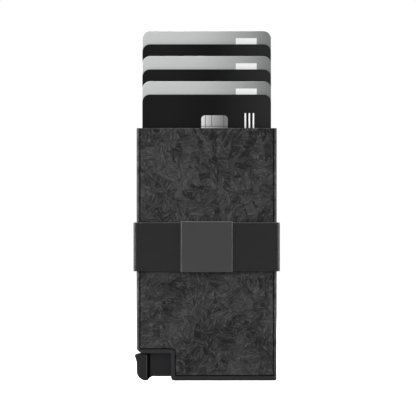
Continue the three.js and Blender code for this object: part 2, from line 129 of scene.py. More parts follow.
class WalletSizes(bpy.types.PropertyGroup):
    """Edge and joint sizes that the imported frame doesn't hold."""

    case_corner: length("Case corner", "Radius of the rails' outer upright corners", 1.2)
    rail_edge: length("Rail edge", "Middle of the case to the inner edge of a rail", 28.2)
    web_face: length("Web face", "Middle of the case to the face under a panel", 3.75)
    pocket_width: length("Pocket width", "Middle of the case to the pocket's side", 27.4)
    pocket_depth: length("Pocket depth", "Middle of the case to the pocket's front", 3.15)
    panel_edge: length("Panel edge", "Round-over along a panel's edges", 0.22)
    fine_edge: length("Fine edge", "Round-over on machined edges", 0.14)
    strap_corner: length("Strap corner", "Radius where the strap turns round the case", 1.5)
    strap_edge: length("Strap edge", "Round-over along the strap's edges", 0.4)
    plate_edge: length("Plate edge", "Round-over of the folded plate", 0.3)
    head_edge: length("Trigger edge", "Round-over of the trigger's head", 0.65)
    card_corner: length("Card corner", "Corner radius of a card", 3.18)
    card_edge: length("Card edge", "Round-over along a card's edges", 0.12)
    chip_corner: length("Chip corner", "Corner radius of a chip's contact plate", 1.6)
    wire: length("Spring wire", "Radius of the return spring's wire", 0.25)


class WalletColours(bpy.types.PropertyGroup):
    """Base colours, as linear light."""

    shard_dark: colour("Dark shard", "Composite where the chips lie dark", 0.004, 0.004, 0.004)
    shard_light: colour("Light shard", "Composite where chips catch light", 0.066, 0.066, 0.0655)
    rim: colour("End block", "Blasted metal of the end block", 0.027, 0.028, 0.0305)
    trigger: colour("Trigger", "Satin metal of the trigger", 0.0112, 0.0112, 0.0112)
    strap: colour("Strap", "Elastic band", 0.0088, 0.0088, 0.0088)
    plate: colour("Strap plate", "Satin plate on the strap", 0.078, 0.078, 0.0785)
    silver: colour("Silver card", "Face of the silver cards", 0.6, 0.62, 0.612)
    black: colour("Black card", "Face of the black cards", 0.02, 0.02, 0.02)
    chip: colour("Chip", "Contact plates", 1.0, 1.0, 1.0)
    steel: colour("Steel", "Pins, plates and springs", 0.42, 0.43, 0.44)
    lever: colour("Lever", "Stamped leaves of the lever", 0.26, 0.26, 0.27)
    liner: colour("Liner", "Friction strips in the pocket", 0.01, 0.01, 0.01)
    seam: colour("Chip seam", "Grooves between the contacts", 0.12, 0.12, 0.12)
    screw: colour("Screw", "Blackened screws", 0.03, 0.03, 0.031)
    stripe: colour("Stripe", "Dark band on the back of a card", 0.012, 0.011, 0.011)
    print: colour("Print", "Plain pale marks printed on the cards", 0.95, 0.95, 0.95)
    floor: colour("Floor", "Studio floor", 0.86, 0.86, 0.86)


# Modelling -----------------------------------------------------------------------------------


def middle_of(node):
    """The middle of a node's box."""
    low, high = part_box(node)
    return (low + high) / 2


def activate(piece):
    """Makes a piece the only one selected."""
    bpy.ops.object.select_all(action="DESELECT")
    piece.select_set(True)
    bpy.context.view_layer.objects.active = piece


def settle(name):
    """Names the newest object and moves its place into its mesh."""
    piece = bpy.context.object
    piece.name = piece.data.name = name
    bpy.ops.object.transform_apply(location=True, rotation=True, scale=True)
    return piece


def block(name, low, high):
    """A box between two opposite corners."""
    low, high = Vector(low), Vector(high)
    bpy.ops.object.select_all(action="DESELECT")
    bpy.ops.mesh.primitive_cube_add(size=1, location=(low + high) / 2, scale=high - low)
    return settle(name)


def bar(name, start, end, radius, sides=32):
    """A round bar between two points."""
    start, end = Vector(start), Vector(end)
    bpy.ops.object.select_all(action="DESELECT")
    bpy.ops.mesh.primitive_cylinder_add(
        vertices=sides,
        radius=radius,
        depth=(end - start).length,
        location=(start + end) / 2,
        rotation=(end - start).to_track_quat("Z", "Y").to_euler(),
    )
    return settle(name)


def slab(name, outline, front, back):
    """A slab of an outline of (x, z) corners, filled from its front y to its back y."""
    bpy.ops.object.select_all(action="DESELECT")
    bpy.ops.mesh.primitive_circle_add(vertices=len(outline), fill_type="NGON")
    piece = bpy.context.object
    for vertex, (x, z) in zip(piece.data.vertices, outline):
        vertex.co = (x, front, z)
    bpy.ops.object.mode_set(mode="EDIT")
    bpy.ops.mesh.select_all(action="SELECT")
    bpy.ops.mesh.extrude_region_move(TRANSFORM_OT_translate={"value": (0, back - front, 0)})
    bpy.ops.mesh.select_all(action="SELECT")
    bpy.ops.mesh.normals_make_consistent(inside=False)
    bpy.ops.object.mode_set(mode="OBJECT")
    return settle(name)


def pick_edges(piece, test):
    """Opens edit mode with only the edges selected whose two ends pass a test."""
    activate(piece)
    bpy.ops.object.mode_set(mode="EDIT")
    bpy.ops.mesh.select_mode(type="EDGE")
    bpy.ops.mesh.select_all(action="DESELECT")
    bpy.ops.object.mode_set(mode="OBJECT")
    mesh = piece.data
    for edge in mesh.edges:
        edge.select = bool(test(*(mesh.vertices[i].co for i in edge.vertices)))
    bpy.ops.object.mode_set(mode="EDIT")


def round_edges(piece, test, width, segments):
    """Bevels the edges whose two ends pass a test."""
    pick_edges(piece, test)
    bpy.ops.mesh.bevel(offset=width, segments=segments, affect="EDGES")
    bpy.ops.object.mode_set(mode="OBJECT")


def along(axis):
    """A test for edges that run along an axis, 0 to 2."""
    return lambda a, b: abs((b - a).normalized()[axis]) > 0.999


def corner_at(x, z):
    """A test for edges through the depth at one (x, z) corner."""
    reach = 0.05 * MM
    return lambda a, b: all(abs(p.x - x) < reach and abs(p.z - z) < reach for p in (a, b))


def on_plane(axis, *places):
    """A test for edges that lie in a plane square to an axis."""
    reach = 0.01 * MM
    return lambda a, b: any(all(abs(p[axis] - at) < reach for p in (a, b)) for at in places)


def apply_modifier(piece, kind, **settings):
    """Adds a modifier with its settings, and applies it."""
    activate(piece)
    bpy.ops.object.modifier_add(type=kind)
    modifier = piece.modifiers[-1]
    for name, value in settings.items():
        setattr(modifier, name, value)
    bpy.ops.object.modifier_apply(modifier=modifier.name)


def cut(piece, *tools):
    """Takes each tool's shape out of a piece, and removes the tool."""
    for tool in tools:
        apply_modifier(piece, "BOOLEAN", operation="DIFFERENCE", object=tool, solver="EXACT")
        bpy.data.objects.remove(tool)
    return piece


def join(piece, *others):
    """Joins others to a piece as one closed body."""
    for other in others:
        apply_modifier(piece, "BOOLEAN", operation="UNION", object=other, solver="EXACT")
        bpy.data.objects.remove(other)
    return piece


def soften(piece, width, segments=2):
    """Rounds every sharp edge a little, and shades the piece smooth with flat faces kept flat."""
    if width:
        apply_modifier(
            piece,
            "BEVEL",
            width=width,
            segments=segments,
            limit_method="ANGLE",
            angle_limit=math.radians(40),
        )
    bpy.ops.object.shade_smooth()
    apply_modifier(piece, "WEIGHTED_NORMAL", weight=80)
    return piece


def copied(piece, name, offset):
    """A copy with its own mesh, moved by an offset."""
    activate(piece)
    bpy.ops.object.duplicate()
    bpy.ops.transform.translate(value=offset)
    return settle(name)


def place(piece, body, slot, material, *nodes):
    """Hands a finished piece over to its body, in place of the frame's own nodes."""
    piece.data.materials.clear()
    piece.data.materials.append(material)
    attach(piece, body)
    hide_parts(*nodes)
    return piece


def finish_node(node, material):
    """Gives a node of the frame a finish."""
    target = frame["nodes"][node]
    target.data.materials.clear()
    target.data.materials.append(material)


# Finishes ------------------------------------------------------------------------------------


NOISE_LOW, NOISE_HIGH = 0.3, 0.7  # between these lies nearly all of a noise


class Finish:
    """A material under construction: each call adds one node and returns it or its output."""

    def __init__(self, name, **constants):
        self.material = bpy.data.materials.new(name)
        self.material.use_nodes = True
        self.tree = self.material.node_tree
        self.shader = self.tree.nodes["Principled BSDF"]
        for socket, value in constants.items():
            self.shader.inputs[socket.replace("_", " ")].default_value = value
        self.object = self.add("ShaderNodeTexCoord").outputs["Object"]

    def add(self, kind, inputs=None, **settings):
        node = self.tree.nodes.new(kind)
        for name, value in settings.items():
            setattr(node, name, value)
        for key, value in (inputs or {}).items():
            if isinstance(value, bpy.types.NodeSocket):
                self.tree.links.new(value, node.inputs[key])
            else:
                node.inputs[key].default_value = value
        return node

    def place(self, scale=(1, 1, 1), turn=(0, 0, 0), shift=(0, 0, 0), vector=None):
        """Object coordinates in millimetres, shifted, turned in degrees, and scaled."""
        inputs = {
            "Vector": vector or self.object,
            "Location": shift,
            "Rotation": tuple(math.radians(angle) for angle in turn),
            "Scale": tuple(value / MM if vector is None else value for value in scale),
        }
        return self.add("ShaderNodeMapping", inputs).outputs["Vector"]

    def noise(self, vector, scale, detail=2.0, roughness=0.5, output="Fac"):
        inputs = {"Vector": vector, "Scale": scale, "Detail": detail, "Roughness": roughness}
        return self.add("ShaderNodeTexNoise", inputs).outputs[output]

    def math(self, operation, first, second=0.0, clamp=False):
        node = self.add(
            "ShaderNodeMath", {0: first, 1: second}, operation=operation, use_clamp=clamp
        )
        return node.outputs[0]

    def mix(self, factor, first, second):
        """Mixes two numbers."""
        return self.add("ShaderNodeMix", {0: factor, 2: first, 3: second}).outputs[0]

    def blend(self, factor, first, second):
        """Mixes two colours."""
        inputs = {0: factor, 6: first, 7: second}
        return self.add("ShaderNodeMix", inputs, data_type="RGBA").outputs[2]

    def tint(self, base, tone):
        """A base colour, made lighter or darker by a tone."""
        inputs = {0: tuple(base)[:3], 3: tone}
        return self.add("ShaderNodeVectorMath", inputs, operation="SCALE").outputs[0]

    def remap(self, value, low, high, to_low=0.0, to_high=1.0, smooth=False):
        """A value's range from low to high, carried over to another range."""
        inputs = {"Value": value, 1: low, 2: high, 3: to_low, 4: to_high}
        kind = "SMOOTHSTEP" if smooth else "LINEAR"
        return self.add("ShaderNodeMapRange", inputs, interpolation_type=kind).outputs[0]

    def vary(self, noise, low, high):
        """A noise's usual range, carried over to low and high."""
        return self.remap(noise, NOISE_LOW, NOISE_HIGH, low, high)

    def ramp(self, value, low, high, *stops):
        """A tone that runs through (place, tone) stops as a value goes from low to high."""
        node = self.add("ShaderNodeValToRGB", {0: self.remap(value, low, high)})
        band = node.color_ramp
        band.interpolation = "B_SPLINE"
        for _ in stops[2:]:
            band.elements.new(0.5)
        for element, (spot, tone) in zip(band.elements, stops):
            element.position = (spot - low) / (high - low)
            element.color = (tone, tone, tone, 1.0)
        return node.outputs[0]

    def patch(self, across, up, middle, half, soft=0.06):
        """1 inside a rectangle about a middle, 0 outside it."""
        sides = [
            self.math("ABSOLUTE", self.math("SUBTRACT", value, at))
            for value, at in zip((across, up), middle)
        ]
        inside = [
            self.remap(side, edge - soft, edge + soft, 1.0, 0.0) for side, edge in zip(sides, half)
        ]
        return self.math("MULTIPLY", *inside)

    def axes(self, vector=None):
        """The X, Y and Z of a vector."""
        return self.add("ShaderNodeSeparateXYZ", {0: vector or self.object}).outputs

    def finish(self, colour=None, roughness=None, height=None, bump=0.1, depth=0.02):
        """Links what varies to the shader. depth is the bump's height in millimetres."""
        if colour is not None:
            self.tree.links.new(colour, self.shader.inputs["Base Color"])
        if roughness is not None:
            self.tree.links.new(roughness, self.shader.inputs["Roughness"])
        if height is not None:
            inputs = {"Strength": bump, "Distance": depth * MM, "Height": height}
            normal = self.add("ShaderNodeBump", inputs).outputs["Normal"]
            self.tree.links.new(normal, self.shader.inputs["Normal"])
        return self.material


def shard_layer(made, vector, size, turn, stretch, shift):
    """One layer of chopped fibre chips: each chip's tone, and how it ranks over other layers."""
    laid = made.place(stretch, turn, shift, vector)
    chips = made.add("ShaderNodeTexVoronoi", {"Vector": laid, "Scale": 1 / size}).outputs["Color"]
    lean, tone, rank = made.axes(chips)
    angle = made.math("MULTIPLY", lean, 2 * math.pi)
    inputs = {"Vector": vector, "Angle": angle, "Axis": (0, 1, 0)}
    turned = made.add("ShaderNodeVectorRotate", inputs, rotation_type="AXIS_ANGLE")
    fibres = turned.outputs["Vector"]
    strands = made.noise(made.place((0.26, 1, 1.6), vector=fibres), 1.0)
    bundles = made.noise(made.place((0.12, 0.4, 0.6), vector=fibres), 1.0)
    wisps = made.remap(strands, 0.6, 0.72, 0.0, 0.5)
    streaks = made.remap(made.mix(0.4, strands, bundles), 0.32, 0.68, -0.4, 0.4)
    base = made.remap(tone, 0.0, 1.0, 0.22, 0.62)
    return made.math("ADD", base, made.math("ADD", streaks, wisps)), rank


CHIP_LAYERS = (
    # chip size (mm), turn (degrees), stretch, shift (mm), share of the surface left uncovered
    (7.0, (0, -48, 0), (1.0, 1, 0.4), (31, 5, 2), 0.5),
    (5.0, (0, 70, 0), (1.0, 1, 0.5), (-17, 2, 41), 0.55),
    (3.4, (0, -15, 0), (0.45, 1, 1.0), (8, 9, -23), 0.6),
    (2.4, (0, 43, 0), (1.0, 1, 0.5), (13, -4, 19), 0.72),
)


def forged_composite(colours):
    """Chopped carbon chips pressed at random: dim shards with fine streaks, under a satin coat."""
    made = Finish("forged_composite", Specular_IOR_Level=0.25)
    point = made.place()
    drift, push = made.noise(point, 0.3, 3, 0.6, "Color"), 2.6
    inputs = {0: drift, 1: (push, push, push), 2: point}
    pushed = made.add("ShaderNodeVectorMath", inputs, operation="MULTIPLY_ADD").outputs[0]
    tone, _ = shard_layer(made, pushed, 8.5, (0, 24, 0), (1.0, 1, 0.55), (3, 1, 7))
    soft = 0.03  # how gently a chip's rim covers what lies below
    for size, turn, stretch, shift, share in CHIP_LAYERS:
        over, rank = shard_layer(made, pushed, size, turn, stretch, shift)
        tone = made.mix(made.remap(rank, share, share + soft), tone, over)
    hair = made.noise(made.place(turn=(0, 33, 0)), 0.33, 2, 0.4)
    line = made.math("ABSOLUTE", made.math("SUBTRACT", hair, 0.52))
    patches = made.remap(made.noise(point, 0.2), 0.5, 0.62)
    hairline = made.math("MULTIPLY", made.remap(line, 0.0, 0.01, 0.5, 0.0), patches)
    cloud = made.vary(made.noise(point, 0.07, 3), -0.24, 0.05)
    lit = made.math("ADD", made.math("ADD", tone, hairline), cloud, clamp=True)
    shade = made.blend(lit, tuple(colours.shard_dark), tuple(colours.shard_light))
    rough = made.remap(lit, 0.0, 1.0, 0.56, 0.44)
    return made.finish(shade, rough, lit, 0.12, 0.012)


def blasted_metal(name, base, metallic=0.35, rough=0.45, **constants):
    """Fine even grain of a bead-blasted, anodised surface."""
    made = Finish(name, Metallic=metallic, Specular_IOR_Level=0.25, **constants)
    point = made.place()
    grain = made.noise(point, 9.0, 3, 0.7)
    patch = made.noise(point, 0.3)
    shade = made.tint(base, made.vary(made.mix(0.4, grain, patch), 0.86, 1.14))
    return made.finish(shade, made.vary(grain, rough - 0.06, rough + 0.06), grain, 0.25)


def trigger_metal(colours):
    """Blasted metal, with painted shade that makes it blackest in the groove behind the trigger's
    head.
    """
    made = Finish("trigger_metal", Metallic=0.3, Specular_IOR_Level=0.5)
    point = made.place()
    grain = made.noise(point, 9.0, 3, 0.7)
    middle, half = -24.27, 0.62  # of the groove, in millimetres
    aside = made.math("SUBTRACT", made.axes(point)[0], middle)
    # painted shade: the groove's strip is made nearly black, standing in for the deep shadow
    # between the head and the blade
    groove = made.math("LESS_THAN", made.math("ABSOLUTE", aside), half)
    tone = made.mix(groove, made.vary(grain, 0.88, 1.12), 0.03)
    rough = made.mix(groove, made.vary(grain, 0.34, 0.42), 0.9)
    return made.finish(made.tint(colours.trigger, tone), rough, grain, 0.2)


def elastic(colours):
    """Smooth matt rubber with fine speckle and small scuffs."""
    made = Finish("strap_rubber", Specular_IOR_Level=0.4)
    point = made.place()
    speck = made.noise(point, 6.0, 4, 0.7)
    scuff = made.noise(made.place((0.3, 1, 2.0)), 0.5, 3, 0.6)
    tone = made.vary(made.mix(0.5, speck, scuff), 0.9, 1.1)
    rough = made.vary(scuff, 0.38, 0.46)
    return made.finish(made.tint(colours.strap, tone), rough, speck, 0.15, 0.012)


def brushed_plate(colours):
    """Satin plate, with fine grain drawn across it."""
    made = Finish("strap_plate", Metallic=0.75)
    grain = made.noise(made.place((0.25, 1, 6.0)), 1.5, 4, 0.7)
    fine = made.noise(made.place(), 7.0, 2, 0.6)
    tone = made.vary(made.mix(0.5, grain, fine), 0.92, 1.08)
    rough = made.vary(grain, 0.38, 0.5)
    return made.finish(made.tint(colours.plate, tone), rough, fine, 0.15)


def bright_steel(name, base, rough=0.3, metallic=1.0):
    """Turned or rolled steel, with fine lines and a little tarnish."""
    made = Finish(name, Metallic=metallic)
    lines = made.noise(made.place((0.5, 3.0, 4.0)), 1.5, 3, 0.7)
    tarnish = made.noise(made.place(), 0.6, 3)
    shade = made.tint(base, made.vary(made.mix(0.6, lines, tarnish), 0.85, 1.1))
    return made.finish(shade, made.vary(tarnish, rough - 0.05, rough + 0.08), lines, 0.15)


def card_finish(name, colours, base, painted_reflection, marks, metallic, rough):
    """A card's printed face, with a painted reflection that lightens and darkens it from side to
    side, pale marks on its front and a dark stripe across its back.

    The card's own map gives millimetres from the middle and up from the lower edge.
    """
    made = Finish(name, Metallic=metallic, Specular_IOR_Level=0.22)
    across, up, _ = made.axes(made.add("ShaderNodeUVMap", uv_map="face").outputs[0])
    facing = made.axes(made.add("ShaderNodeTexCoord").outputs["Normal"])[1]
    # painted reflection: the face's tone runs through the stops from side to side, standing in for
    # the soft boxes' light on the card
    side = made.ramp(across, -27.0, 27.0, *painted_reflection)
    grain = made.noise(made.place((0.15, 1, 5.0)), 2.0, 3, 0.7)
    face = made.tint(base, made.math("MULTIPLY", side, made.vary(grain, 0.98, 1.02)))
    front = made.math("LESS_THAN", facing, -0.5)
    for middle, half in marks:
        mark = made.math("MULTIPLY", front, made.patch(across, up, middle, half))
        face = made.blend(mark, face, tuple(colours.print))
    back = made.math("GREATER_THAN", facing, 0.5)
    band = made.patch(across, up, (15.85, 43.0), (6.35, 60.0))
    face = made.blend(made.math("MULTIPLY", back, band), face, tuple(colours.stripe))
    return made.finish(face, made.vary(grain, rough - 0.03, rough + 0.03), grain, 0.04)


def chip_finish(colours):
    """Plated contacts, with a painted reflection that makes them brighter to the left, and tiny
    pits.
    """
    made = Finish("chip_metal", Metallic=0.4)
    painted_reflection = ((-2.3, 1.0), (-0.6, 0.8), (2.0, 0.52), (5.0, 0.36), (7.2, 0.26), (9.0, 0.24))
    # painted reflection: the contacts' tone falls from left to right, standing in for the key
    # light on the plating
    side = made.ramp(made.axes(made.place())[0], -2.4, 9.1, *painted_reflection)
    pits = made.noise(made.place((1.5, 1, 0.3)), 3.0, 3, 0.6)
    tone = made.math("MULTIPLY", side, made.vary(pits, 0.92, 1.06))
    return made.finish(made.tint(colours.chip, tone), made.vary(pits, 0.28, 0.36), pits, 0.1)


# Pieces --------------------------------------------------------------------------------------


class WalletStep:
    """What every step of the wallet shares."""

    bl_options = {"REGISTER", "UNDO"}

    @staticmethod
    def given(context):
        """The sizes and colours that the panel holds."""
        return context.scene.wallet_sizes, context.scene.wallet_colours


def composite(colours):
    """The one composite that the rails and both panels share."""
    return bpy.data.materials.get("forged_composite") or forged_composite(colours)


class WALLET_OT_case_rails(WalletStep, bpy.types.Operator):
    """Model the side rails and the webs between them"""

    bl_idname = "wallet.case_rails"
    bl_label = "Case Rails"

    def execute(self, context):
        sizes, colours = self.given(context)
        low, high = CASE_LOW, CASE_HIGH
        begin, end = low - Vector((OVER, OVER, OVER)), high + Vector((OVER, OVER, OVER))
        rails = block("case_rails", low, high)
        round_edges(rails, along(2), sizes.case_corner, 6)
        top_corner, outer_side = 0.5 * MM, 29 * MM

        def shoulder(a, b):
            return on_plane(2, high.z)(a, b) and along(1)(a, b) and abs(a.x) > outer_side

        round_edges(rails, shoulder, top_corner, 3)
        edge, pocket, depth = sizes.rail_edge, sizes.pocket_width, sizes.pocket_depth
        front, back = MIDDLE.y - sizes.web_face, MIDDLE.y + sizes.web_face
        web_foot = 20.1 * MM
        chin, chin_drop = 13.1 * MM, 1.2 * MM  # where the left rail ends, over the trigger
        below_chin = [
            (begin.x, begin.z),
            (-pocket + OVER, begin.z),
            (-pocket + OVER, chin - chin_drop),
            (-edge, chin - chin_drop),
            (low.x - 0.01 * MM, chin),
            (begin.x, chin),
        ]
        cut(
            rails,
            block("tool", (-edge, begin.y, begin.z), (edge, front, end.z)),
            block("tool", (-edge, back, begin.z), (edge, end.y, end.z)),
            block(
                "tool",
                (-pocket, MIDDLE.y - depth, begin.z),
                (pocket, MIDDLE.y + depth, end.z),
            ),
            block("tool", (-pocket, begin.y, begin.z), (pocket, end.y, web_foot)),
            slab("tool", below_chin, begin.y, end.y),
        )
        # the blocks that the base screws hold: inner side, foot and top
        screw_blocks = (
            (-24.32 * MM, chin + 0.03 * MM, 19.7 * MM),
            (24.02 * MM, low.z, 12 * MM),
        )
        root, bay = 0.2 * MM, 2.85 * MM
        for inner, foot, top in screw_blocks:
            near, far = sorted((inner, math.copysign(pocket + root, inner)))
            join(rails, block("block", (near, MIDDLE.y - bay, foot), (far, MIDDLE.y + bay, top)))
        thread, thread_length = 0.65 * MM, 7 * MM
        for name in ("base_screw_left", "base_screw_right"):
            start = middle_of(name)
            start.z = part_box(name)[0].z - MM
            cut(rails, bar("tool", start, start + Vector((0, 0, thread_length)), thread, 24))
        soften(rails, sizes.fine_edge)
        place(rails, "case", "rail_composite", composite(colours), "case_shell")
        return {"FINISHED"}


class WALLET_OT_face_panels(WalletStep, bpy.types.Operator):
    """Model the front and rear composite panels"""

    bl_idname = "wallet.face_panels"
    bl_label = "Face Panels"

    def execute(self, context):
        sizes, colours = self.given(context)
        notch = Vector((-12.95 * MM, 0, 13.55 * MM))
        notch_corner, notch_foot = 1.45 * MM, 0.5 * MM
        for node in ("front_panel", "rear_panel"):
            low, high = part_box(node)
            outline = [
                (notch.x, low.z),
                (high.x, low.z),
                (high.x, high.z),
                (low.x, high.z),
                (low.x, notch.z),
                (notch.x, notch.z),
            ]
            panel = slab(f"{node}_sheet", outline, low.y, high.y)
            round_edges(panel, corner_at(notch.x, notch.z), notch_corner, 6)
            round_edges(panel, corner_at(notch.x, low.z), notch_foot, 3)
            soften(panel, sizes.panel_edge, 3)
            place(panel, "case", "panel_composite", composite(colours), node)
        return {"FINISHED"}


class WALLET_OT_end_block(WalletStep, bpy.types.Operator):
    """Finish the end block: the rim along the base and round the notch, and its tray"""

    bl_idname = "wallet.end_block"
    bl_label = "End Block"

    def execute(self, context):
        sizes, colours = self.given(context)
        source = frame["nodes"]["end_block"]
        activate(source)
        bpy.ops.object.duplicate()
        rim = bpy.context.object
        rim.parent = None
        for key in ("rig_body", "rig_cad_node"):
            del rim[key]
        rim = settle("end_rim")
        bpy.ops.object.mode_set(mode="EDIT")
        bpy.ops.mesh.select_all(action="SELECT")
        bpy.ops.mesh.remove_doubles(threshold=0.001 * MM)
        bpy.ops.mesh.dissolve_limited(angle_limit=math.radians(1))
        bpy.ops.object.mode_set(mode="OBJECT")
        soften(rim, sizes.fine_edge)
        finish = blasted_metal("end_block_metal", colours.rim)
        place(rim, "case", "anodised_block", finish, "end_block")
        return {"FINISHED"}


class WALLET_OT_trigger(WalletStep, bpy.types.Operator):
    """Model the trigger: its lipped head, and the blade that slides into the case"""

    bl_idname = "wallet.trigger"
    bl_label = "Trigger"

    def execute(self, context):
        sizes, colours = self.given(context)
        low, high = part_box("trigger")
        left, right, foot, top = -29.37 * MM, -24.9 * MM, low.z, 11.2 * MM
        heel, throat = (left, foot), (left, top - 3.3 * MM)
        lip = (low.x - 0.12 * MM, top - 0.45 * MM)
        crown = (left + 0.5 * MM, top + 0.2 * MM)
        toe = 0.3 * MM
        inner = [(right - toe, foot), (right, foot + toe), (right, top)]
        outline = [*inner, crown, lip, throat, heel]
        head = slab("trigger_slide_piece", outline, low.y, high.y)
        turns = ((heel, 3.8, 10), (throat, 1.2, 5), (lip, 0.6, 5), (crown, 0.4, 5))
        for corner, radius, segments in turns:
            round_edges(head, corner_at(*corner), radius * MM, segments)
        round_edges(head, on_plane(1, low.y, high.y), sizes.head_edge, 4)
        depth, overlap, neck = 2.7 * MM, 1.6 * MM, 1.65 * MM
        blade_top, base, end = 11.3 * MM, 1.75 * MM, high.x
        lug, lug_end = -13.2 * MM, -10.0 * MM
        outline = [
            (right - overlap, foot + 0.4 * MM),
            (right + 0.05 * MM, foot + 0.02 * MM),
            (right + neck, base),
            (end, base),
            (end, blade_top),
            (lug_end, blade_top),
            (lug_end, high.z),
            (lug, high.z),
            (lug, blade_top),
            (right - overlap, blade_top),
        ]
        blade = slab("blade", outline, MIDDLE.y - depth, MIDDLE.y + depth)
        round_edges(blade, corner_at(right + neck, base), 1.0 * MM, 5)
        shelf, beyond, above, groove = 2.2 * MM, 6 * MM, 20 * MM, 1.2 * MM
        for near, far in ((-beyond, -shelf), (shelf, beyond)):
            side = block(
                "tool",
                (right, MIDDLE.y + near, -MM),
                (right + groove, MIDDLE.y + far, above),
            )
            cut(blade, side)
        join(head, blade)
        pin, spring = middle_of("drive_pin"), middle_of("spring_rod")
        # slots for the swinging crank and for its pin: half width, half depth, reach below the pin
        for half, deep, below in ((3.3, 1.1, 2.93), (0.95, 1.7, 2.23)):
            slot = block(
                "tool",
                (pin.x - half * MM, MIDDLE.y - deep * MM, pin.z - below * MM),
                (pin.x + half * MM, MIDDLE.y + deep * MM, above),
            )
            cut(head, slot)
        seat, seat_depth = 2.3 * MM, 2.0 * MM
        inside, outside = (end - seat_depth, MIDDLE.y, spring.z), (end + MM, MIDDLE.y, spring.z)
        cut(head, bar("tool", inside, outside, seat))
        soften(head, 0.1 * MM)
        place(head, "trigger", "trigger_dark", trigger_metal(colours), "trigger")
        return {"FINISHED"}


class WALLET_OT_strap(WalletStep, bpy.types.Operator):
    """Model the elastic strap round the case"""

    bl_idname = "wallet.strap"
    bl_label = "Strap"

    def execute(self, context):
        sizes, colours = self.given(context)
        low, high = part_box("strap")
        gap = 0.1 * MM
        band = block("strap_band", low, high)
        round_edges(band, along(2), sizes.strap_corner, 8)
        inner = block(
            "tool",
            (CASE_LOW.x - gap, CASE_LOW.y - gap, low.z - OVER),
            (CASE_HIGH.x + gap, CASE_HIGH.y + gap, high.z + OVER),
        )
        round_edges(inner, along(2), sizes.case_corner, 6)
        cut(band, inner)
        inside = CASE_HIGH + Vector((2 * gap, 2 * gap, 0)) - MIDDLE

        def outer(a, b):
            edge = on_plane(2, low.z, high.z)(a, b)
            out = [abs(p.x) > inside.x or abs(p.y - MIDDLE.y) > inside.y for p in (a, b)]
            return edge and all(out)

        round_edges(band, outer, sizes.strap_edge, 4)
        soften(band, 0)
        place(band, "strap", "strap_rubber", elastic(colours), "strap")
        return {"FINISHED"}


class WALLET_OT_strap_plate(WalletStep, bpy.types.Operator):
    """Model the folded metal plate on the strap"""

    bl_idname = "wallet.strap_plate"
    bl_label = "Strap Plate"

    def execute(self, context):
        sizes, colours = self.given(context)
        low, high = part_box("strap_plate")
        thick, slack = 0.35 * MM, 0.05 * MM
        plate = block("strap_clasp", low, high)
        round_edges(plate, on_plane(1, low.y), sizes.plate_edge, 4)
        cut(
            plate,
            block(
                "tool",
                (low.x - OVER, low.y + thick + slack, low.z + thick),
                (high.x + OVER, high.y + OVER, high.z - thick - slack),
            ),
        )
        soften(plate, 0.05 * MM)
        place(plate, "strap", "strap_plate", brushed_plate(colours), "strap_plate")
        return {"FINISHED"}


class WALLET_OT_cards(WalletStep, bpy.types.Operator):
    """Model one card, and copy it for the six in the pocket"""

    bl_idname = "wallet.cards"
    bl_label = "Cards"

    def execute(self, context):
        sizes, colours = self.given(context)
        # painted reflection across each card's face: stops of (millimetres across, tone)
        silver_painted_reflection = ((-27, 1.0), (-10, 0.95), (-1, 0.91), (10, 0.7), (20, 0.52), (27, 0.3))
        black_painted_reflection = ((-27, 0.25), (-16, 0.4), (0, 0.1), (10, 0.3), (27, 1.0))
        patch = [((16.6, 79.4), (4.4, 3.2))]
        bars = [((spot, 70.8), (0.3, 7.0)) for spot in (16.2, 17.9, 19.6)]
        silver = card_finish("silver_face", colours, colours.silver, silver_painted_reflection, patch, 0.3, 0.38)
        black = card_finish("black_face", colours, colours.black, black_painted_reflection, bars, 0.0, 0.34)
        low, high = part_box(CARD_NAMES[0])
        chip_low, chip_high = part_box("chip_1")
        margin, seat_floor = 0.04 * MM, 0.03 * MM
        card = block("card_1_sheet", low, high)
        round_edges(card, along(1), sizes.card_corner, 10)
        seat = block(
            "tool",
            (chip_low.x - margin, low.y - MM, chip_low.z - margin),
            (chip_high.x + margin, chip_high.y + seat_floor, chip_high.z + margin),
        )
        round_edges(seat, along(1), sizes.chip_corner, 6)
        cut(card, seat)
        soften(card, sizes.card_edge, 3)
        face_map = card.data.uv_layers.new(name="face")
        for loop in card.data.loops:
            corner = card.data.vertices[loop.vertex_index].co
            face_map.data[loop.index].uv = (corner.x / MM, (corner.z - low.z) / MM)
        cards = [card]
        for name in CARD_NAMES[1:]:
            cards.append(copied(card, f"{name}_sheet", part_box(name)[0] - low))
        finishes = ((silver, "silver_card"), (black, "black_card")) * (CARD_COUNT // 2)
        for name, piece, (finish, slot) in zip(CARD_NAMES, cards, finishes):
            place(piece, name, slot, finish, name)
        return {"FINISHED"}


